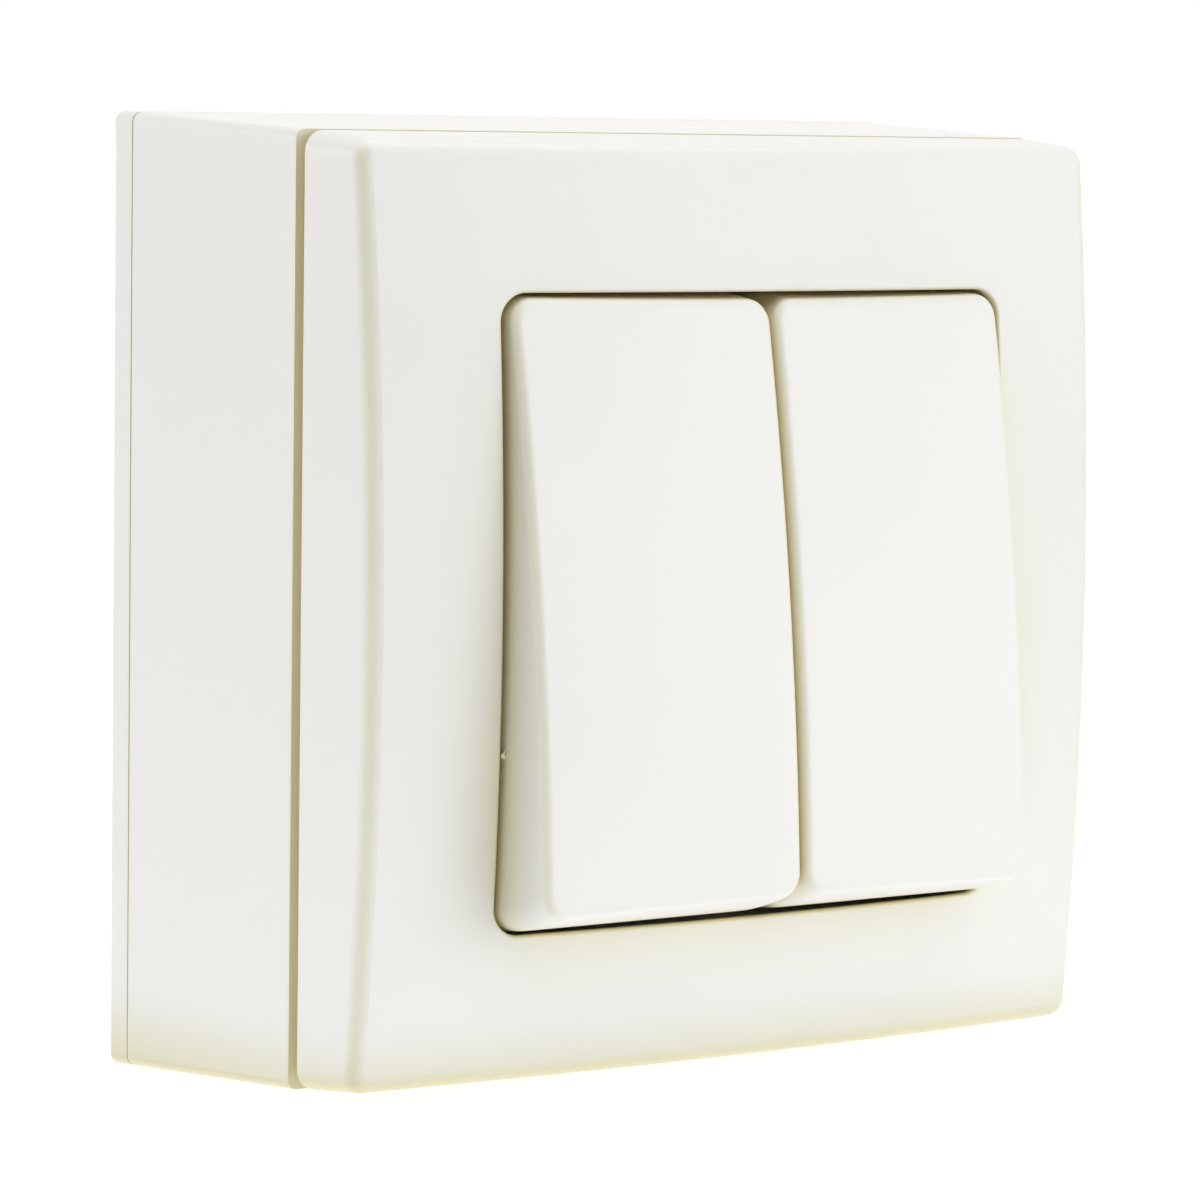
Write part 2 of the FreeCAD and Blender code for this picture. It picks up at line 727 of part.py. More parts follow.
def spring(side):
    """Coil spring between the tube's closed end and the plunger."""
    back = plunger_shank_front + plunger_travel + spring_wire_radius + running_gap
    front = bore_front - spring_wire_radius - running_gap
    length = front - back
    helix = Part.makeHelix(length / spring_turns, length, spring_mean_radius)
    start = Vector(spring_mean_radius, 0, 0)
    section = Part.Wire(Part.makeCircle(spring_wire_radius, start, Vector(0, 1, 0)))
    coil = Part.Wire(helix.Edges).makePipeShell([section], True, True)
    coil.rotate(Vector(0, 0, 0), Vector(1, 0, 0), 90)
    coil.translate(Vector(carrier_centre, -back, 0))
    return mirrored(tilt(coil, -rest_tilt, pivot_depth), side)


def contact_bridge(side):
    """See-saw strip with a round groove for its knife and a hole for its rivet."""
    strip = centred_block(carrier_centre, 0, bridge_width, bridge_length, bridge_back, bridge_front)
    groove = Part.makeCylinder(knife_radius + running_gap, bridge_width,
                               Vector(carrier_centre - bridge_width / 2, -bridge_back, 0), Vector(1, 0, 0))
    strip = strip.cut(groove)
    strip = strip.cut(post(rivet_shank_radius + running_gap, carrier_centre, rivet_place,
                           bridge_back, bridge_front))
    return mirrored(tilt(strip, bridge_rest_tilt, fulcrum_depth), side)


def moving_rivet(side):
    """Contact rivet through the upper arm of a bridge."""
    rivet = post(rivet_radius, carrier_centre, rivet_place, bridge_back - rivet_height, bridge_back)
    rivet = rivet.fuse(post(rivet_shank_radius, carrier_centre, rivet_place,
                            bridge_back, bridge_front + rivet_height / 2))
    return mirrored(tilt(rivet.removeSplitter(), bridge_rest_tilt, fulcrum_depth), side)


def fulcrum_bar():
    """Common strip with two knife edges and a tongue to the line terminal."""
    reach = carrier_centre + bridge_width / 2
    bar = centred_block(0, 0, 2 * reach, 2 * fulcrum_bar_half_height, strip_back, strip_front)
    bar = bar.fuse(block(-strip_width / 2, strip_width / 2, strip_back, strip_front, -strip_end, 0))
    for side in (-1, 1):
        x = side * carrier_centre
        knife_top = fulcrum_depth - knife_radius - running_gap
        knife = centred_block(x, 0, bridge_width / 2, 2 * knife_radius, strip_front, knife_top)
        rounding = Part.makeCylinder(knife_radius, bridge_width / 2,
                                     Vector(x - bridge_width / 4, -knife_top, 0), Vector(1, 0, 0))
        bar = bar.fuse(knife).fuse(rounding)
    return bar.removeSplitter()


def fixed_contact(side):
    """Contact strip from under a bridge's upper arm to its load terminal."""
    strip = block(carrier_centre - strip_width / 2, carrier_centre + strip_width / 2,
                  strip_back, strip_front, strip_start, strip_end)
    return mirrored(strip, side)


def fixed_rivets():
    """The two contact rivets on the fixed strips."""
    rivets = []
    for side in (-1, 1):
        rivets.append(post(rivet_radius, side * carrier_centre, rivet_place,
                           strip_front, strip_front + fixed_rivet_height))
    return Part.makeCompound(rivets)


def terminal(name):
    """Brass clamp block with a window for strip and wire and a threaded back."""
    x, z = terminal_places()[name]
    clamp = centred_block(x, z, clamp_width, clamp_height, clamp_back, clamp_front)
    clamp = clamp.cut(centred_block(x, z, clamp_width - 2 * clamp_wall, clamp_height,
                                    clamp_back + clamp_wall, clamp_front - clamp_wall))
    return clamp.cut(post(clamp_screw_radius + running_gap, x, z, clamp_back, clamp_back + clamp_wall))


def slotted_screw(x, z, head_back, head_radius, head_height, radius, tip, facing):
    """Screw square to the wall. Facing is 1 where the head looks to the front."""
    head_top = head_back + facing * head_height
    low, high = sorted((head_back, head_top))
    shank_low, shank_high = sorted((head_back, tip))
    screw = post(head_radius, x, z, low, high).fuse(post(radius, x, z, shank_low, shank_high))
    slot_low, slot_high = sorted((head_top, head_top - facing * driver_slot_depth))
    groove = centred_block(x, z, 2 * head_radius, driver_slot_width, slot_low, slot_high)
    return screw.removeSplitter().cut(groove)


def strap_screws():
    """The two screws that hold the strap on the box."""
    screws = []
    for side in (-1, 1):
        screws.append(slotted_screw(side * strap_screw_place, 0, strap_front, screw_head_radius,
                                    screw_head_height, screw_radius, strap_front - screw_length, 1))
    return Part.makeCompound(screws)


def box_screws():
    """The two screws that hold the box on the wall plate."""
    screws = []
    for side in (-1, 1):
        place = side * corner_screw_place
        screws.append(slotted_screw(place, -place, corner_flange_front, screw_head_radius,
                                    screw_head_height, screw_radius, plate_thickness, 1))
    return Part.makeCompound(screws)


def terminal_screws():
    """The three clamp screws, with heads that face the wall."""
    screws = []
    for x, z in terminal_places().values():
        screws.append(slotted_screw(x, z, clamp_back, clamp_screw_head_radius, clamp_screw_head_height,
                                    clamp_screw_radius, clamp_screw_tip, -1))
    return Part.makeCompound(screws)


def main():
    """Build every piece and write one file for each."""
    pieces = {
        "base_plate": base_plate(),
        "surface_box": surface_box(),
        "cover_frame": cover_frame(),
        "support_plate": support_plate(),
        "mechanism_base": mechanism_base(),
        "mechanism_cover": mechanism_cover(),
        "fulcrum_bar": fulcrum_bar(),
        "fixed_rivets": fixed_rivets(),
        "line_terminal": terminal("line"),
        "left_load_terminal": terminal("left_load"),
        "right_load_terminal": terminal("right_load"),
        "terminal_screws": terminal_screws(),
        "strap_screws": strap_screws(),
        "box_screws": box_screws(),
    }
    for name, side in SIDES.items():
        pieces[name + "_rocker"] = rocker(side)
        pieces[name + "_carrier"] = carrier(side)
        pieces[name + "_plunger"] = plunger(side)
        pieces[name + "_spring"] = spring(side)
        pieces[name + "_contact_bridge"] = contact_bridge(side)
        pieces[name + "_moving_rivet"] = moving_rivet(side)
        pieces[name + "_fixed_contact"] = fixed_contact(side)
    os.makedirs("parts", exist_ok=True)
    for name, shape in pieces.items():
        print(name, "solids", len(shape.Solids), "valid", shape.isValid(), "mm3", round(shape.Volume, 1))
        shape.exportStep("parts/" + name + ".step")


main()
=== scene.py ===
"""Surface mounted light switch with two rockers: finishes, small details, floor, light and camera.

Lengths are in metres. X runs across, Y into the wall and Z up, and the origin is the middle of the
wall face.
"""

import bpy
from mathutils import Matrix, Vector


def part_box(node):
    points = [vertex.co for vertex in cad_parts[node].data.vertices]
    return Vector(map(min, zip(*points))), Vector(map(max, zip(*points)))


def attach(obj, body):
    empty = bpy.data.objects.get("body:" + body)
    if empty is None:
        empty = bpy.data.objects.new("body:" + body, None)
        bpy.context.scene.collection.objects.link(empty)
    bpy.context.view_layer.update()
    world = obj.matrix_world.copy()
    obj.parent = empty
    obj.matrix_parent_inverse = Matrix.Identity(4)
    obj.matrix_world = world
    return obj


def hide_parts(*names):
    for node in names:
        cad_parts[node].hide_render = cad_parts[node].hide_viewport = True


bl_info = {
    "name": "Surface light switch",
    "version": (1, 0, 0),
    "blender": (4, 5, 0),
    "location": "3D View > Sidebar > Switch",
    "description": "Finishes and studio for a surface mounted light switch with two rockers",
    "category": "Object",
}

import math

import bmesh
import bpy
from mathutils import Matrix, Vector

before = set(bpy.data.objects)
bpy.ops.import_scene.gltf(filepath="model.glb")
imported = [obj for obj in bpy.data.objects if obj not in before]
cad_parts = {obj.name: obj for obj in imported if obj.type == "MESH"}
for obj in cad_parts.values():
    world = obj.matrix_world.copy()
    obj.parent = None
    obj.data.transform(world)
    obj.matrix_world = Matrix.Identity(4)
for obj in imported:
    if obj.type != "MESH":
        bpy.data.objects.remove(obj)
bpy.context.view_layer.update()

WHITE = (1.0, 1.0, 1.0)

# A finish is named after the slot that it goes on, with this ending.
FINISH = "_finish"

# The CAD nodes that each finish goes on.
NODES_OF = {
    "cream_plastic": ("base_plate", "surface_box", "cover_frame", "left_rocker", "right_rocker"),
    "housing_plastic": ("mechanism_base", "mechanism_cover"),
    "carrier_plastic": ("left_carrier", "right_carrier", "left_plunger", "right_plunger"),
    "zinc_steel": ("support_plate", "strap_screws", "box_screws", "terminal_screws"),
    "spring_steel": ("left_spring", "right_spring"),
    "brass": ("line_terminal", "left_load_terminal", "right_load_terminal"),
    "copper_strip": ("fulcrum_bar", "left_contact_bridge", "right_contact_bridge",
                     "left_fixed_contact", "right_fixed_contact"),
    "contact_silver": ("fixed_rivets", "left_moving_rivet", "right_moving_rivet"),
}


class SwitchFinishes(bpy.types.PropertyGroup):
    """Colours and surface sizes of the switch's finishes."""

    cream: bpy.props.FloatVectorProperty(
        name="Cream plastic", description="Colour of the visible mouldings", subtype="COLOR",
        size=3, min=0.0, max=1.0, default=(0.846, 0.832, 0.798))
    # Colour of the painted shade laid halfway round upright rounded edges.
    cream_round_shade: bpy.props.FloatVectorProperty(
        name="Round edge painted shade", description="Slightly warmer colour of the upright rounded edges",
        subtype="COLOR", size=3, min=0.0, max=1.0, default=(0.81, 0.78, 0.64))
    # Colour of the faint random patches, and also of the painted shade along sharp edges and beside
    # gaps.
    cream_patch_and_shade: bpy.props.FloatVectorProperty(
        name="Patch and painted shade cream", description="Warmer colour of sharp edges, patches and faces by a gap",
        subtype="COLOR", size=3, min=0.0, max=1.0, default=(0.67, 0.63, 0.37))
    # Colour of the painted shade deep inside gaps.
    cream_gap_shade: bpy.props.FloatVectorProperty(
        name="Gap painted shade", description="Tan that the plastic takes deep inside a gap",
        subtype="COLOR", size=3, min=0.0, max=1.0, default=(0.80, 0.72, 0.48))
    grain_size: bpy.props.FloatProperty(
        name="Grain size", description="Width of one grain of the moulded surface",
        default=0.00022, min=0.00005, max=0.005, precision=5, unit="LENGTH")
    patch_size: bpy.props.FloatProperty(
        name="Patch size", description="Width of a faint patch of colour",
        default=0.03, min=0.005, max=0.5, unit="LENGTH")
    # Reach of the painted shade along sharp edges, and of their polish.
    edge_width: bpy.props.FloatProperty(
        name="Edge width", description="Reach of the deeper tone along sharp edges",
        default=0.0005, min=0.0001, max=0.01, precision=5, unit="LENGTH")
    # How near another face must be for the painted gap shade to show.
    gap_shade_reach: bpy.props.FloatProperty(
        name="Gap reach", description="How near another face must be for a surface to turn warmer",
        default=0.008, min=0.0005, max=0.05, precision=4, unit="LENGTH")


class SwitchScrews(bpy.types.PropertyGroup):
    """Sizes of the slotted screws."""

    head_radius: bpy.props.FloatProperty(
        name="Head radius", description="Radius of a strap or box screw's head",
        default=0.0029, unit="LENGTH")
    clamp_head_radius: bpy.props.FloatProperty(
        name="Clamp head radius", description="Radius of a clamp screw's head",
        default=0.0023, unit="LENGTH")
    head_height: bpy.props.FloatProperty(
        name="Head height", description="Height of a strap or box screw's head",
        default=0.0020, unit="LENGTH")
    clamp_head_height: bpy.props.FloatProperty(
        name="Clamp head height", description="Height of a clamp screw's head",
        default=0.0018, unit="LENGTH")
    shank_radius: bpy.props.FloatProperty(
        name="Shank radius", description="Outer radius of a strap or box screw's thread",
        default=0.0015, unit="LENGTH")
    clamp_shank_radius: bpy.props.FloatProperty(
        name="Clamp shank radius", description="Outer radius of a clamp screw's thread",
        default=0.0014, unit="LENGTH")
    pitch: bpy.props.FloatProperty(
        name="Pitch", description="Step of the thread",
        default=0.0005, precision=5, unit="LENGTH")
    thread_height: bpy.props.FloatProperty(
        name="Thread height", description="Height of the thread over its core",
        default=0.00028, precision=5, unit="LENGTH")
    slot_width: bpy.props.FloatProperty(
        name="Slot width", description="Width of the driver slot",
        default=0.0007, precision=5, unit="LENGTH")
    slot_depth: bpy.props.FloatProperty(
        name="Slot depth", description="Depth of the driver slot",
        default=0.0009, precision=5, unit="LENGTH")
    slot_turn: bpy.props.FloatProperty(
        name="Slot turn", description="Turn of the slot from one screw to the next",
        default=math.radians(53.0), subtype="ANGLE", unit="ROTATION")


class SwitchMarks(bpy.types.PropertyGroup):
    """Sizes of the small moulding marks."""

    pin_radius: bpy.props.FloatProperty(
        name="Pin mark radius", description="Radius of an ejector pin's mark on the back",
        default=0.0025, unit="LENGTH")
    pin_height: bpy.props.FloatProperty(
        name="Pin mark height", description="How far the mark's rim stands from the recessed back",
        default=0.00015, precision=5, unit="LENGTH")
    pin_rim: bpy.props.FloatProperty(
        name="Pin mark rim", description="Width of a pin mark's rim",
        default=0.0003, precision=5, unit="LENGTH")
    recess: bpy.props.FloatProperty(
        name="Recess", description="Depth of the recessed back",
        default=0.0006, precision=5, unit="LENGTH")
    burr_size: bpy.props.FloatProperty(
        name="Burr size", description="Radius of the bit of flash on the opening's left edge",
        default=0.00026, precision=5, unit="LENGTH")
    burr_place: bpy.props.FloatVectorProperty(
        name="Burr place", description="Where the flash sits", subtype="TRANSLATION",
        size=3, default=(-0.02720, -0.0391, -0.0118), precision=5, unit="LENGTH")


class SwitchStage(bpy.types.PropertyGroup):
    """Floor, lamps and camera."""

    floor_side: bpy.props.FloatProperty(
        name="Floor side", description="Length of a side of the floor",
        default=40.0, min=1.0, unit="LENGTH")
    floor_shade: bpy.props.FloatProperty(
        name="Floor shade", description="How pale the floor is", default=0.4, min=0.0, max=1.0)
    floor_glow: bpy.props.FloatProperty(
        name="Floor glow", description="Light that comes up through the floor away from the switch",
        default=0.38, min=0.0, max=2.0)
    table_glow: bpy.props.FloatProperty(
        name="Table glow", description="Light that comes up through the floor near the switch",
        default=0.80, min=0.0, max=2.0)
    table_radius: bpy.props.FloatProperty(
        name="Table radius", description="How far from the switch the stronger glow reaches",
        default=0.3, min=0.05, max=5.0, unit="LENGTH")
    glow_colour: bpy.props.FloatVectorProperty(
        name="Glow colour", description="Colour of the light that comes up through the floor",
        subtype="COLOR", size=3, min=0.0, max=1.0, default=(0.96, 0.98, 1.0))
    floor_white: bpy.props.FloatProperty(
        name="Floor white", description="Glow of the floor as the camera sees it",
        default=0.8, min=0.0, max=2.0)
    room: bpy.props.FloatProperty(
        name="Room", description="Strength of the light from all round",
        default=0.08, min=0.0, max=2.0)
    top: bpy.props.FloatProperty(
        name="Top lamp", description="Strength of the lamp above",
        default=1.6, min=0.0, max=20.0)
    top_left: bpy.props.FloatProperty(
        name="Top left lamp", description="Strength of the lamp above the left side",
        default=0.75, min=0.0, max=20.0)
    left: bpy.props.FloatProperty(
        name="Left lamp", description="Strength of the lamp on the left, behind the switch's front",
        default=1.45, min=0.0, max=20.0)
    front: bpy.props.FloatProperty(
        name="Front lamp", description="Strength of the lamp ahead, a little to the right",
        default=1.12, min=0.0, max=20.0)
    front_top: bpy.props.FloatProperty(
        name="Front top lamp", description="Strength of the raised lamp ahead",
        default=0.22, min=0.0, max=20.0)
    right: bpy.props.FloatProperty(
        name="Right lamp", description="Strength of the lamp on the right",
        default=0.74, min=0.0, max=20.0)
    azimuth: bpy.props.FloatProperty(
        name="Camera azimuth", description="Turn of the camera to the left of the front",
        default=math.radians(36.40), subtype="ANGLE", unit="ROTATION")
    elevation: bpy.props.FloatProperty(
        name="Camera elevation", description="Height angle of the camera",
        default=math.radians(4.95), subtype="ANGLE", unit="ROTATION")
    roll: bpy.props.FloatProperty(
        name="Camera roll", description="Turn of the camera about its line of sight",
        default=math.radians(0.77), subtype="ANGLE", unit="ROTATION")
    camera_place: bpy.props.FloatVectorProperty(
        name="Camera place", description="Where the camera stands", subtype="TRANSLATION",
        size=3, default=(-0.29154, -0.41125, 0.04115), precision=4, unit="LENGTH")
    focal_pixels: bpy.props.FloatProperty(
        name="Focal length in pixels", description="Focal length on a picture 1200 pixels wide",
        default=5399.4, min=100.0)


def clear_selection():
    """Deselect everything, as the loaded nodes start selected."""
    bpy.ops.object.select_all(action="DESELECT")


class NodeSheet:
    """Adds and joins the nodes of one material or group."""

    def __init__(self, tree):
        self.tree = tree

    def add(self, kind):
        """One new node."""
        return self.tree.nodes.new(kind)

    def join(self, source, target):
        """Link one output to one input."""
        self.tree.links.new(source, target)

    def feed(self, value, target):
        """Link an output to an input, or set the input to a plain number or colour."""
        if isinstance(value, bpy.types.NodeSocket):
            self.join(value, target)
        elif target.type == "RGBA":
            target.default_value = (*value, 1.0)
        else:
            target.default_value = value


FLOAT = "NodeSocketFloat"
VECTOR = "NodeSocketVector"

# Where a Mix node keeps its two inputs and its output, by what it mixes.
MIX_SOCKETS = {"FLOAT": (2, 3, 0), "RGBA": (6, 7, 2)}


def named_group(name, inputs, outputs):
    """Empty shader group with named sockets, and its sheet, input and output nodes."""
    tree = bpy.data.node_groups.new(name, "ShaderNodeTree")
    for socket_name, socket_type, default in inputs:
        socket = tree.interface.new_socket(name=socket_name, in_out="INPUT",
                                           socket_type=socket_type)
        if default is not None:
            socket.default_value = default
    for socket_name in outputs:
        tree.interface.new_socket(name=socket_name, in_out="OUTPUT", socket_type=FLOAT)
    sheet = NodeSheet(tree)
    return tree, sheet, sheet.add("NodeGroupInput"), sheet.add("NodeGroupOutput")


def math_node(sheet, operation, first, second=None):
    """Math node fed by sockets or numbers. Gives its output."""
    node = sheet.add("ShaderNodeMath")
    node.operation = operation
    for socket, value in zip(node.inputs, (first, second)):
        if value is not None:
            sheet.feed(value, socket)
    return node.outputs[0]


def noise_node(sheet, position, scale, detail, roughness=0.5):
    """Noise of a number of grains to the metre. Gives its factor."""
    node = sheet.add("ShaderNodeTexNoise")
    node.inputs["Detail"].default_value = detail
    node.inputs["Roughness"].default_value = roughness
    sheet.join(position, node.inputs["Vector"])
    sheet.feed(scale, node.inputs["Scale"])
    return node.outputs["Fac"]


def range_node(sheet, value, low, high, to_low=0.0, to_high=1.0):
    """Map one range to another, held at its ends."""
    node = sheet.add("ShaderNodeMapRange")
    node.clamp = True
    ends = (("From Min", low), ("From Max", high), ("To Min", to_low), ("To Max", to_high))
    for name, number in ends:
        node.inputs[name].default_value = number
    sheet.join(value, node.inputs["Value"])
    return node.outputs["Result"]


def mix_node(sheet, kind, factor, first, second):
    """Mix of two numbers or two colours, each a socket or a plain value. Gives its output."""
    node = sheet.add("ShaderNodeMix")
    node.data_type = kind
    at_first, at_second, at_result = MIX_SOCKETS[kind]
    sheet.join(factor, node.inputs["Factor"])
    sheet.feed(first, node.inputs[at_first])
    sheet.feed(second, node.inputs[at_second])
    return node.outputs[at_result]


def openness(sheet, reach, inside=False):
    """1 where no face is within reach, and less beside one. Seen from inside, 1 is a deep wall."""
    node = sheet.add("ShaderNodeAmbientOcclusion")
    node.samples = 8
    node.inside = inside
    sheet.join(reach, node.inputs["Distance"])
    return node.outputs["AO"]


# Orange peel beside the grain: how often it repeats and how high it stands.
PEEL_OFTEN = 0.09
PEEL_HIGH = 1.6
# Noise over which patches and sheen rise, and what sheen does to the roughness.
PATCH_NOISE = (0.35, 0.7)
SHEEN_NOISE = (0.3, 0.7)
SHEEN_CHANGE = (-0.03, 0.04)


def moulded_surface_group():
    """Fine grain, orange peel and faint patches of a moulded surface."""
    tree, sheet, entry, exit_node = named_group(
        "Moulded surface",
        (("Position", VECTOR, None), ("Grains per metre", FLOAT, 4500.0),
         ("Patches per metre", FLOAT, 33.0), ("Base roughness", FLOAT, 0.35)),
        ("Height", "Patches", "Roughness"))
    position = entry.outputs["Position"]
    grains = entry.outputs["Grains per metre"]
    grain = noise_node(sheet, position, grains, detail=2.0, roughness=0.6)
    peel = noise_node(sheet, position, math_node(sheet, "MULTIPLY", grains, PEEL_OFTEN), detail=1.0)
    peel_height = math_node(sheet, "MULTIPLY", peel, PEEL_HIGH)
    sheet.join(math_node(sheet, "ADD", grain, peel_height), exit_node.inputs["Height"])
    patches = noise_node(sheet, position, entry.outputs["Patches per metre"], detail=3.0)
    sheet.join(range_node(sheet, patches, *PATCH_NOISE), exit_node.inputs["Patches"])
    sheen = range_node(sheet, patches, *SHEEN_NOISE, *SHEEN_CHANGE)
    roughness = math_node(sheet, "ADD", entry.outputs["Base roughness"], sheen)
    sheet.join(roughness, exit_node.inputs["Roughness"])
    return tree


# Openness at which each mask starts and at which it is full. The masks lay painted shade on edges
# and gaps.
SHARP_OPENNESS = (0.95, 0.45)
BESIDE_OPENNESS = (0.98, 0.5)
DEEP_OPENNESS = (0.45, 0.15)
# The same for the product of a normal's X and Y, which is 0.5 halfway round an upright rounding,
# where painted shade is laid.
ROUND_TURN = (0.2, 0.48)


def edge_group():
    """Masks of the edges: Sharp is 1 on crisp outward edges, where it lays painted shade and
    polish, Round halfway round upright ones, where it lays painted shade.
    """
    tree, sheet, entry, exit_node = named_group(
        "Edge mask", (("Width", FLOAT, 0.0005),), ("Sharp", "Round"))
    inside = openness(sheet, entry.outputs["Width"], inside=True)
    sheet.join(range_node(sheet, inside, *SHARP_OPENNESS), exit_node.inputs["Sharp"])
    normal = sheet.add("ShaderNodeSeparateXYZ")
    sheet.join(sheet.add("ShaderNodeTexCoord").outputs["Normal"], normal.inputs[0])
    turned = math_node(sheet, "MULTIPLY", normal.outputs["X"], normal.outputs["Y"])
    turned = math_node(sheet, "ABSOLUTE", turned)
    sheet.join(range_node(sheet, turned, *ROUND_TURN), exit_node.inputs["Round"])
    return tree


def gap_shade_group():
    """Masks of painted gap shade: Beside is 0 on open faces and 1 at a gap, Deep is 1 only deep in
    one.
    """
    tree, sheet, entry, exit_node = named_group(
        "Gap mask", (("Reach", FLOAT, 0.008),), ("Beside", "Deep"))
    outside = openness(sheet, entry.outputs["Reach"])
    sheet.join(range_node(sheet, outside, *BESIDE_OPENNESS), exit_node.inputs["Beside"])
    sheet.join(range_node(sheet, outside, *DEEP_OPENNESS), exit_node.inputs["Deep"])
    return tree


# Drawn lines run along X, and clouds of tarnish lie over them.
LINE_STRETCH = (0.04, 1.0, 1.0)
CLOUDS_PER_METRE = 220.0
# Noise over which tarnish and gloss rise, and what the lines do to the roughness.
TARNISH_NOISE = (0.4, 0.75)
LINE_NOISE = (0.2, 0.8)
LINE_CHANGE = (-0.06, 0.08)


def worked_metal_group():
    """Drawn lines and cloudy tarnish of a worked metal."""
    tree, sheet, entry, exit_node = named_group(
        "Worked metal",
        (("Position", VECTOR, None), ("Lines per metre", FLOAT, 3000.0),
         ("Base roughness", FLOAT, 0.3)),
        ("Height", "Tarnish", "Roughness"))
    position = entry.outputs["Position"]
    stretch = sheet.add("ShaderNodeMapping")
    stretch.inputs["Scale"].default_value = LINE_STRETCH
    sheet.join(position, stretch.inputs["Vector"])
    lines = noise_node(sheet, stretch.outputs["Vector"], entry.outputs["Lines per metre"],
                       detail=3.0, roughness=0.7)
    sheet.join(lines, exit_node.inputs["Height"])
    clouds = noise_node(sheet, position, CLOUDS_PER_METRE, detail=4.0, roughness=0.6)
    sheet.join(range_node(sheet, clouds, *TARNISH_NOISE), exit_node.inputs["Tarnish"])
    uneven = range_node(sheet, lines, *LINE_NOISE, *LINE_CHANGE)
    roughness = math_node(sheet, "ADD", entry.outputs["Base roughness"], uneven)
    sheet.join(roughness, exit_node.inputs["Roughness"])
    return tree


def new_material(name):
    """Material with an empty sheet, its Principled shader and its object coordinates."""
    material = bpy.data.materials.new(name)
    material.use_nodes = True
    tree = material.node_tree
    shader = next(node for node in tree.nodes if node.type == "BSDF_PRINCIPLED")
    sheet = NodeSheet(tree)
    position = sheet.add("ShaderNodeTexCoord").outputs["Object"]
    return material, sheet, shader, position


def place_group(sheet, tree, values, position=None):
    """A group node with its plain inputs set, and fed with the position where it takes one."""
    node = sheet.add("ShaderNodeGroup")
    node.node_tree = tree
    for name, value in values.items():
        node.inputs[name].default_value = value
    if position is not None:
        sheet.join(position, node.inputs["Position"])
    return node


def bump(sheet, shader, height, distance):
    """Bump whose full height is a distance in metres."""
    node = sheet.add("ShaderNodeBump")
    node.inputs["Distance"].default_value = distance
    sheet.join(height, node.inputs["Height"])
    sheet.join(node.outputs["Normal"], shader.inputs["Normal"])


# How much of the deep tone shows in patches, and as painted shade along sharp edges and beside
# gaps.
PATCH_SHARE = 0.05
SHARP_SHARE = 0.3
BESIDE_SHARE = 0.8
# How much smoother a sharp edge is worn by rubbing.
EDGE_POLISH = 0.06
PLASTIC_IOR = 1.5
# How much of a metal's tarnish shows.
TARNISH_SHARE = 0.5

# Plain tone, painted shade of upright edges, tone of patches and of painted shade by sharp edges
# and gaps, and painted shade deep in gaps, of the two plastics inside.
HOUSING_TONES = ((0.56, 0.56, 0.54), (0.53, 0.53, 0.51), (0.42, 0.42, 0.40), (0.2, 0.2, 0.18))
CARRIER_TONES = ((0.78, 0.78, 0.75), (0.75, 0.75, 0.71), (0.64, 0.63, 0.58), (0.3, 0.3, 0.26))

# Each metal's colour, tarnish, roughness and height of its drawn lines.
METALS = {
    "zinc_steel": ((0.62, 0.64, 0.66), (0.66, 0.62, 0.50), 0.34, 0.000003),
    "spring_steel": ((0.46, 0.47, 0.49), (0.33, 0.33, 0.34), 0.28, 0.000002),
    "brass": ((0.80, 0.62, 0.30), (0.60, 0.42, 0.18), 0.26, 0.000002),
    "copper_strip": ((0.80, 0.47, 0.30), (0.52, 0.27, 0.17), 0.3, 0.000002),
    "contact_silver": ((0.83, 0.82, 0.80), (0.55, 0.52, 0.47), 0.2, 0.000001),
}


def plastic_material(name, tones, groups, finishes, roughness, grain_height):
    """Moulded plastic with grain, faint patches and polished edges, and painted shade on edges and
    in gaps.
    """
    # edge, deep and gap are colours of painted shade; deep is also the tone of the patches.
    plain, edge, deep, gap = tones
    material, sheet, shader, position = new_material(name + FINISH)
    surface = place_group(sheet, groups["surface"], {
        "Grains per metre": 1.0 / finishes.grain_size,
        "Patches per metre": 1.0 / finishes.patch_size,
        "Base roughness": roughness}, position)
    edges = place_group(sheet, groups["edges"], {"Width": finishes.edge_width})
    gaps = place_group(sheet, groups["gaps"], {"Reach": finishes.gap_shade_reach})
    faint = math_node(sheet, "MULTIPLY", surface.outputs["Patches"], PATCH_SHARE)
    colour = mix_node(sheet, "RGBA", faint, plain, deep)
    # Painted shade halfway round upright rounded edges.
    colour = mix_node(sheet, "RGBA", edges.outputs["Round"], colour, edge)
    # Painted shade along sharp edges.
    sharp_edge_shade = math_node(sheet, "MULTIPLY", edges.outputs["Sharp"], SHARP_SHARE)
    colour = mix_node(sheet, "RGBA", sharp_edge_shade, colour, deep)
    # Painted shade beside gaps, and darker painted shade deep inside them.
    gap_side_shade = math_node(sheet, "MULTIPLY", gaps.outputs["Beside"], BESIDE_SHARE)
    colour = mix_node(sheet, "RGBA", gap_side_shade, colour, deep)
    colour = mix_node(sheet, "RGBA", gaps.outputs["Deep"], colour, gap)
    sheet.join(colour, shader.inputs["Base Color"])
    polish = math_node(sheet, "MULTIPLY", edges.outputs["Sharp"], EDGE_POLISH)
    polished = math_node(sheet, "SUBTRACT", surface.outputs["Roughness"], polish)
    sheet.join(polished, shader.inputs["Roughness"])
    bump(sheet, shader, surface.outputs["Height"], grain_height)
    shader.inputs["IOR"].default_value = PLASTIC_IOR
    return material


def metal_material(name, group):
    """Worked metal with drawn lines and patches of tarnish."""
    colour, tarnish, roughness, line_height = METALS[name]
    material, sheet, shader, position = new_material(name + FINISH)
    surface = place_group(sheet, group, {"Base roughness": roughness}, position)
    cloudy = math_node(sheet, "MULTIPLY", surface.outputs["Tarnish"], TARNISH_SHARE)
    sheet.join(mix_node(sheet, "RGBA", cloudy, colour, tarnish), shader.inputs["Base Color"])
    sheet.join(surface.outputs["Roughness"], shader.inputs["Roughness"])
    bump(sheet, shader, surface.outputs["Height"], line_height)
    shader.inputs["Metallic"].default_value = 1.0
    return material


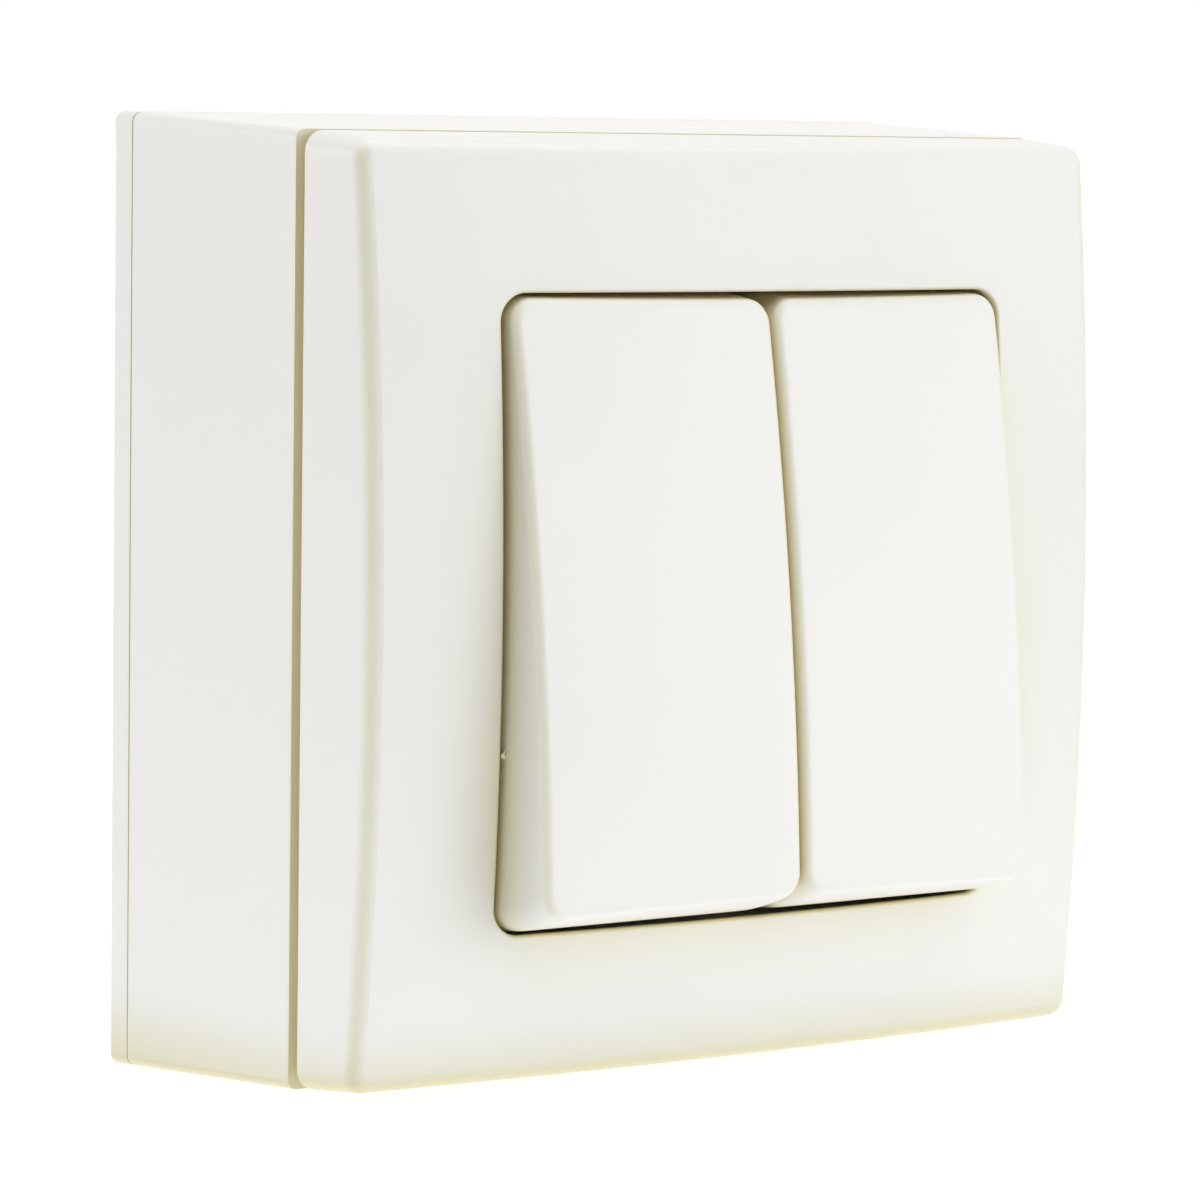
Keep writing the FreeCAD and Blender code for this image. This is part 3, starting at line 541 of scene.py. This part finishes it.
class SWITCH_OT_finishes(bpy.types.Operator):
    """Give every CAD node of the switch its finish"""

    bl_idname = "switch.finishes"
    bl_label = "Finish the pieces"

    def execute(self, context):
        finishes = context.scene.switch_finishes
        cream_tones = (finishes.cream, finishes.cream_round_shade, finishes.cream_patch_and_shade, finishes.cream_gap_shade)
        groups = {"surface": moulded_surface_group(), "edges": edge_group(), "gaps": gap_shade_group()}
        made = {
            name: plastic_material(name, tones, groups, finishes, roughness, grain_height)
            for name, tones, roughness, grain_height in (
                ("cream_plastic", cream_tones, 0.40, 0.000003),
                ("housing_plastic", HOUSING_TONES, 0.55, 0.000006),
                ("carrier_plastic", CARRIER_TONES, 0.5, 0.000005))}
        metal_group = worked_metal_group()
        for name in METALS:
            made[name] = metal_material(name, metal_group)
        for name, nodes in NODES_OF.items():
            for node in nodes:
                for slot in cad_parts[node].material_slots:
                    slot.material = made[name]
        return {"FINISHED"}


# Cosine above which a face counts as looking one way.
FACING = 0.9
# Angle past which an edge is broken, and angle up to which faces are shaded as one.
CORNER_ANGLE = math.radians(50)
SMOOTH_ANGLE = math.radians(35)


def pick(kind, test):
    """Select only the faces or the edges of the mesh in edit mode that pass a test."""
    mesh = bmesh.from_edit_mesh(bpy.context.object.data)
    for element in (*mesh.verts, *mesh.edges, *mesh.faces):
        element.select = False
    for element in getattr(mesh, kind):
        if test(element):
            element.select_set(True)
    bmesh.update_edit_mesh(bpy.context.object.data)


def pick_facing(direction):
    """Select only the faces of the mesh in edit mode that look a given way."""
    pick("faces", lambda face: face.normal.dot(Vector(direction)) > FACING)


def pull_out(step):
    """Extrude what is selected by a step."""
    bpy.ops.mesh.extrude_region_move(TRANSFORM_OT_translate={"value": step})


def apply_modifier(piece, kind, **settings):
    """Add a modifier to a piece, set it up and apply it."""
    bpy.context.view_layer.objects.active = piece
    bpy.ops.object.modifier_add(type=kind)
    modifier = piece.modifiers[-1]
    for name, value in settings.items():
        setattr(modifier, name, value)
    bpy.ops.object.modifier_apply(modifier=modifier.name)


def break_edges(piece, width):
    """Put a small bevel on a piece's sharp edges."""
    apply_modifier(piece, "BEVEL", width=width, segments=2, limit_method="ANGLE",
                   angle_limit=CORNER_ANGLE)


# Rounding of a head's rim by its height, and taper of a shank's tip by the core's radius.
HEAD_ROUNDING = 0.32
TIP_TAPER = 0.35
# Break of a slot's edges by its width.
SLOT_BREAK = 0.08
# How deep the ridge's foot is sunk by its height, and half the foot's width by the pitch.
FOOT_SUNK = 0.3
FOOT_HALF = 0.42
# Sides of a turn of the thread.
THREAD_STEPS = 24


def screw_blank(head_radius, head_height, core_radius, length):
    """Head with a rounded rim, and a plain shank with a chamfered tip. The head looks along Z."""
    clear_selection()
    bpy.ops.mesh.primitive_cylinder_add(vertices=48, radius=head_radius, depth=head_height,
                                        location=(0, 0, head_height / 2))
    blank = bpy.context.object
    bpy.ops.object.transform_apply(location=True, rotation=True, scale=True)
    bpy.ops.object.mode_set(mode="EDIT")
    nearly_top = head_height * 0.99
    pick("edges", lambda edge: all(vertex.co.z > nearly_top for vertex in edge.verts))
    bpy.ops.mesh.bevel(offset=head_height * HEAD_ROUNDING, segments=4)
    pick_facing((0, 0, -1))
    bpy.ops.mesh.inset(thickness=head_radius - core_radius)
    chamfer = core_radius * TIP_TAPER
    pull_out((0, 0, chamfer - length))
    pull_out((0, 0, -chamfer))
    tip = 1.0 - TIP_TAPER
    bpy.ops.transform.resize(value=(tip, tip, 1.0), center_override=(0, 0, -length))
    bpy.ops.object.mode_set(mode="OBJECT")
    return blank


def cut_slot(blank, head_radius, head_height, width, depth):
    """Mill the driver slot across the head and break the sharp edges."""
    clear_selection()
    bpy.ops.mesh.primitive_cube_add(size=1.0, location=(0, 0, head_height))
    cutter = bpy.context.object
    cutter.dimensions = (head_radius * 3, width, depth * 2)
    bpy.ops.object.transform_apply(location=False, rotation=False, scale=True)
    apply_modifier(blank, "BOOLEAN", operation="DIFFERENCE", solver="EXACT", object=cutter)
    bpy.data.objects.remove(cutter, do_unlink=True)
    break_edges(blank, width * SLOT_BREAK)


def thread_ridge(outer_radius, height, pitch, length):
    """Closed ridge that winds round the shank."""
    clear_selection()
    bpy.ops.mesh.primitive_circle_add(vertices=3, radius=pitch / 2, fill_type="NOTHING")
    ridge = bpy.context.object
    bpy.ops.object.mode_set(mode="EDIT")
    foot = outer_radius - height - height * FOOT_SUNK
    places = ((outer_radius, 0.0), (foot, pitch * FOOT_HALF), (foot, -pitch * FOOT_HALF))
    for corner, (across, along) in zip(bmesh.from_edit_mesh(ridge.data).verts, places):
        corner.co = (across, 0.0, along - length + pitch)
    bpy.ops.object.mode_set(mode="OBJECT")
    turns = int((length - 2 * pitch) / pitch)
    apply_modifier(ridge, "SCREW", axis="Z", screw_offset=pitch, iterations=turns,
                   steps=THREAD_STEPS, render_steps=THREAD_STEPS, use_merge_vertices=False)
    bpy.ops.object.mode_set(mode="EDIT")
    bpy.ops.mesh.select_all(action="SELECT")
    bpy.ops.mesh.fill_holes(sides=3)
    bpy.ops.mesh.select_all(action="SELECT")
    bpy.ops.mesh.normals_make_consistent(inside=False)
    bpy.ops.object.mode_set(mode="OBJECT")
    return ridge


def slotted_screw(name, head_radius, head_height, shank_radius, length, screws):
    """Threaded screw at the origin with its head along Z."""
    core = shank_radius - screws.thread_height
    blank = screw_blank(head_radius, head_height, core, length)
    cut_slot(blank, head_radius, head_height, screws.slot_width, screws.slot_depth)
    ridge = thread_ridge(shank_radius, screws.thread_height, screws.pitch, length)
    clear_selection()
    ridge.select_set(True)
    blank.select_set(True)
    bpy.context.view_layer.objects.active = blank
    bpy.ops.object.join()
    bpy.ops.object.shade_smooth_by_angle(angle=SMOOTH_ANGLE)
    blank.name = name
    return blank


def give_material(piece, name):
    """Give a new piece the finish of one of the record's slots."""
    piece.data.materials.clear()
    piece.data.materials.append(bpy.data.materials[name + FINISH])


def set_copy(source, name, place, towards_front, turn, finish):
    """Copy a piece to its place on the body, its top to the front or the wall, and turned."""
    clear_selection()
    piece = source.copy()
    piece.data = source.data.copy()
    piece.name = name
    bpy.context.collection.objects.link(piece)
    lean = math.radians(90 if towards_front else -90)
    piece.matrix_world = (Matrix.Translation(place) @ Matrix.Rotation(lean, 4, "X")
                          @ Matrix.Rotation(turn, 4, "Z"))
    piece.select_set(True)
    bpy.context.view_layer.objects.active = piece
    bpy.ops.object.transform_apply(location=True, rotation=True, scale=True)
    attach(piece, "switch_body")
    give_material(piece, finish)
    return piece


def head_centre(low, high, radius, side):
    """Place of a head at the low end (-1), in the middle (0) or at the high end (1) of a box."""
    return (low + high) / 2 + side * ((high - low) / 2 - radius)


class SWITCH_OT_screws(bpy.types.Operator):
    """Make the threaded screws of the strap, the box and the clamps"""

    bl_idname = "switch.screws"
    bl_label = "Make the screws"

    def execute(self, context):
        screws = context.scene.switch_screws
        large = (screws.head_radius, screws.head_height, screws.shank_radius)
        small = (screws.clamp_head_radius, screws.clamp_head_height, screws.clamp_shank_radius)
        sets = (("strap_screws", True, large, ((-1, 0), (1, 0))),
                ("box_screws", True, large, ((-1, 1), (1, -1))),
                ("terminal_screws", False, small, ((-1, 1), (1, 1), (0, -1))))
        for node, to_front, (head_radius, head_height, shank_radius), sides in sets:
            low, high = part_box(node)
            seat = low.y + head_height if to_front else high.y - head_height
            source = slotted_screw(node + "_pattern", head_radius, head_height, shank_radius,
                                   high.y - low.y - head_height, screws)
            for number, (side_x, side_z) in enumerate(sides):
                place = Vector((head_centre(low.x, high.x, head_radius, side_x), seat,
                                head_centre(low.z, high.z, head_radius, side_z)))
                screw = set_copy(source, f"{node}_{number + 1}", place, to_front,
                                 number * screws.slot_turn, "zinc_steel")
                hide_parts(node)
            bpy.data.objects.remove(source, do_unlink=True)
        return {"FINISHED"}


# Places of the pin marks on the recessed back, across and up.
PIN_PLACES = ((-0.028, 0.028), (0.0, 0.030), (0.028, 0.028),
              (-0.028, -0.028), (0.0, -0.0335), (0.028, -0.028))
# Depth of a pin mark's dish and break of its edges, by the mark's height.
PIN_DISH = 0.8
PIN_BREAK = 0.3


def pin_mark(marks):
    """Shallow disc with a raised rim, as an ejector pin leaves. Its face looks along Z."""
    clear_selection()
    buried = marks.pin_height
    bpy.ops.mesh.primitive_cylinder_add(
        vertices=64, radius=marks.pin_radius, depth=marks.pin_height + buried,
        location=(0, 0, (marks.pin_height - buried) / 2))
    mark = bpy.context.object
    bpy.ops.object.transform_apply(location=True, rotation=True, scale=True)
    bpy.ops.object.mode_set(mode="EDIT")
    pick_facing((0, 0, 1))
    bpy.ops.mesh.inset(thickness=marks.pin_rim)
    pull_out((0, 0, -marks.pin_height * PIN_DISH))
    bpy.ops.object.mode_set(mode="OBJECT")
    break_edges(mark, marks.pin_height * PIN_BREAK)
    bpy.ops.object.shade_smooth_by_angle(angle=SMOOTH_ANGLE)
    return mark


def flash_burr(marks):
    """Ragged bit of flash that stands from the opening's edge into the gap."""
    clear_selection()
    size = marks.burr_size
    bpy.ops.mesh.primitive_ico_sphere_add(subdivisions=2, radius=size, location=(0, 0, 0))
    burr = bpy.context.object
    bpy.ops.object.mode_set(mode="EDIT")
    # A long spur that hangs into the gap and gets thinner, and a short one above it.
    pick_facing((0.8, 0, -0.6))
    pull_out((size * 0.5, 0, -size * 1.1))
    bpy.ops.transform.resize(value=(0.5, 0.6, 0.5), center_override=(size * 1.1, 0, -size * 1.6))
    pick_facing((0.3, 0, 0.95))
    pull_out((size * 0.3, 0, size * 0.9))
    bpy.ops.mesh.select_all(action="SELECT")
    bpy.ops.transform.resize(value=(1.0, 0.8, 1.0), center_override=(0, 0, 0))
    bpy.ops.mesh.normals_make_consistent(inside=False)
    bpy.ops.object.mode_set(mode="OBJECT")
    apply_modifier(burr, "SUBSURF", levels=1, render_levels=1)
    bpy.ops.object.shade_smooth()
    burr.location = marks.burr_place
    bpy.ops.object.transform_apply(location=True, rotation=True, scale=True)
    return burr


class SWITCH_OT_marks(bpy.types.Operator):
    """Make the marks that moulding leaves: pin marks on the back and flash on the opening"""

    bl_idname = "switch.marks"
    bl_label = "Make the moulding marks"

    def execute(self, context):
        marks = context.scene.switch_marks
        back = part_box("base_plate")[1].y - marks.recess
        source = pin_mark(marks)
        for number, (across, up) in enumerate(PIN_PLACES):
            set_copy(source, f"pin_mark_{number + 1}", Vector((across, back, up)), False, 0.0,
                     "cream_plastic")
        bpy.data.objects.remove(source, do_unlink=True)
        burr = flash_burr(marks)
        burr.name = "opening_burr"
        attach(burr, "switch_body")
        give_material(burr, "cream_plastic")
        return {"FINISHED"}


SPECKLES_PER_METRE = 300.0
SPECKLE_NOISE = (0.3, 0.7)
SPECKLE_CHANGE = 0.005
FLOOR_ROUGHNESS = 0.9
# Share of the table's radius over which its glow is even.
TABLE_CORE = 0.3

# Each lamp's name in the settings, its direction from the switch, spread in degrees and colour.
LAMPS = (
    ("top", (0.1, -0.1, 1.0), 60, WHITE),
    ("top_left", (-0.5, 0.1, 0.85), 60, WHITE),
    ("left", (-0.8, 0.6, 0.05), 50, WHITE),
    ("front", (0.5, -0.866, 0.1), 60, WHITE),
    ("front_top", (0.2, -0.8, 0.6), 60, WHITE),
    ("right", (0.82, -0.57, 0.1), 50, (0.92, 0.96, 1.0)),
)

# Side of the picture in pixels, width of the sensor in millimetres and reach of the view in metres.
PICTURE_SIDE = 1200
SENSOR = 36.0
VIEW_REACH = (0.01, 100.0)


def seen_directly(sheet):
    """1 for rays from the camera, from gloss and through clear pieces."""
    path = sheet.add("ShaderNodeLightPath")
    seen = math_node(sheet, "MAXIMUM", path.outputs["Is Camera Ray"], path.outputs["Is Glossy Ray"])
    return math_node(sheet, "MAXIMUM", seen, path.outputs["Is Transmission Ray"])


def floor_material(stage):
    """Pale floor that is lit from below like a light table, and shows white with a faint shadow."""
    material, sheet, shader, position = new_material("pale_floor")
    speckle = noise_node(sheet, position, SPECKLES_PER_METRE, detail=2.0)
    shade = range_node(sheet, speckle, *SPECKLE_NOISE, stage.floor_shade - SPECKLE_CHANGE,
                       stage.floor_shade + SPECKLE_CHANGE)
    sheet.join(shade, shader.inputs["Base Color"])
    shader.inputs["Roughness"].default_value = FLOOR_ROUGHNESS
    shader.inputs["Specular IOR Level"].default_value = 0.0
    shown = seen_directly(sheet)
    glow_colour = mix_node(sheet, "RGBA", shown, stage.glow_colour, WHITE)
    sheet.join(glow_colour, shader.inputs["Emission Color"])
    away = sheet.add("ShaderNodeVectorMath")
    away.operation = "LENGTH"
    sheet.join(position, away.inputs[0])
    glow = range_node(sheet, away.outputs["Value"], stage.table_radius * TABLE_CORE,
                      stage.table_radius, stage.table_glow, stage.floor_glow)
    strength = mix_node(sheet, "FLOAT", shown, glow, stage.floor_white)
    sheet.join(strength, shader.inputs["Emission Strength"])
    return material


def white_room(strength):
    """World that lights evenly and shows as plain white."""
    world = bpy.data.worlds.new("white_room")
    bpy.context.scene.world = world
    world.use_nodes = True
    sheet = NodeSheet(world.node_tree)
    background = next(node for node in world.node_tree.nodes if node.type == "BACKGROUND")
    background.inputs["Color"].default_value = (*WHITE, 1.0)
    seen = range_node(sheet, seen_directly(sheet), 0.0, 1.0, strength, 1.0)
    sheet.join(seen, background.inputs["Strength"])


def soft_lamp(name, towards, strength, spread, colour):
    """Broad distant lamp that shines from a direction, given as a vector from the switch."""
    bpy.ops.object.light_add(type="SUN", location=(0, 0, 0))
    lamp = bpy.context.object
    lamp.name = name
    lamp.data.energy = strength
    lamp.data.color = colour
    lamp.data.angle = math.radians(spread)
    lamp.location = Vector(towards).normalized()
    lamp.rotation_euler = Vector(towards).to_track_quat("Z", "Y").to_euler()


def camera_axes(azimuth, elevation, roll):
    """Columns of the camera's turn: right, up and back."""
    back = Vector((-math.sin(azimuth) * math.cos(elevation),
                   -math.cos(azimuth) * math.cos(elevation), math.sin(elevation)))
    right = Vector((0, 0, 1)).cross(back).normalized()
    up = back.cross(right)
    turned_right = math.cos(roll) * right + math.sin(roll) * up
    turned_up = math.cos(roll) * up - math.sin(roll) * right
    return Matrix((turned_right, turned_up, back)).transposed()


class SWITCH_OT_stage(bpy.types.Operator):
    """Lay the floor, light the room and set the camera"""

    bl_idname = "switch.stage"
    bl_label = "Set the stage"

    def execute(self, context):
        stage = context.scene.switch_stage
        lowest = min(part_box(name)[0].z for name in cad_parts)
        clear_selection()
        bpy.ops.mesh.primitive_plane_add(size=stage.floor_side, location=(0, 0, 0))
        floor = context.object
        floor.name = "studio_floor"
        floor.location.z = lowest
        floor.data.materials.append(floor_material(stage))
        white_room(stage.room)
        for name, towards, spread, colour in LAMPS:
            soft_lamp(name + "_lamp", towards, getattr(stage, name), spread, colour)
        bpy.ops.object.camera_add()
        camera = context.object
        camera.name = "product_camera"
        turn = camera_axes(stage.azimuth, stage.elevation, stage.roll)
        camera.matrix_world = Matrix.Translation(stage.camera_place) @ turn.to_4x4()
        camera.data.sensor_width = SENSOR
        camera.data.lens = stage.focal_pixels / PICTURE_SIDE * SENSOR
        camera.data.clip_start, camera.data.clip_end = VIEW_REACH
        context.scene.camera = camera
        context.scene.view_settings.view_transform = "Standard"
        return {"FINISHED"}


class SWITCH_PT_panel(bpy.types.Panel):
    """Steps and settings of the switch"""

    bl_label = "Light switch"
    bl_idname = "SWITCH_PT_panel"
    bl_space_type = "VIEW_3D"
    bl_region_type = "UI"
    bl_category = "Switch"

    def draw(self, context):
        scene = context.scene
        for settings in (scene.switch_finishes, scene.switch_screws, scene.switch_marks,
                         scene.switch_stage):
            box = self.layout.box()
            for name in settings.__annotations__:
                box.prop(settings, name)
        for step in STEPS:
            self.layout.operator(step.bl_idname)


STEPS = (SWITCH_OT_finishes, SWITCH_OT_screws, SWITCH_OT_marks, SWITCH_OT_stage)
CLASSES = (SwitchFinishes, SwitchScrews, SwitchMarks, SwitchStage, *STEPS, SWITCH_PT_panel)


def register():
    """Register the classes and hang the settings on the scene."""
    for cls in CLASSES:
        bpy.utils.register_class(cls)
    bpy.types.Scene.switch_finishes = bpy.props.PointerProperty(type=SwitchFinishes)
    bpy.types.Scene.switch_screws = bpy.props.PointerProperty(type=SwitchScrews)
    bpy.types.Scene.switch_marks = bpy.props.PointerProperty(type=SwitchMarks)
    bpy.types.Scene.switch_stage = bpy.props.PointerProperty(type=SwitchStage)


def unregister():
    """Take the settings and classes away."""
    del bpy.types.Scene.switch_stage
    del bpy.types.Scene.switch_marks
    del bpy.types.Scene.switch_screws
    del bpy.types.Scene.switch_finishes
    for cls in reversed(CLASSES):
        bpy.utils.unregister_class(cls)


def main():
    """Run every step."""
    register()
    bpy.ops.switch.finishes()
    bpy.ops.switch.screws()
    bpy.ops.switch.marks()
    bpy.ops.switch.stage()


if __name__ == "__main__":
    main()
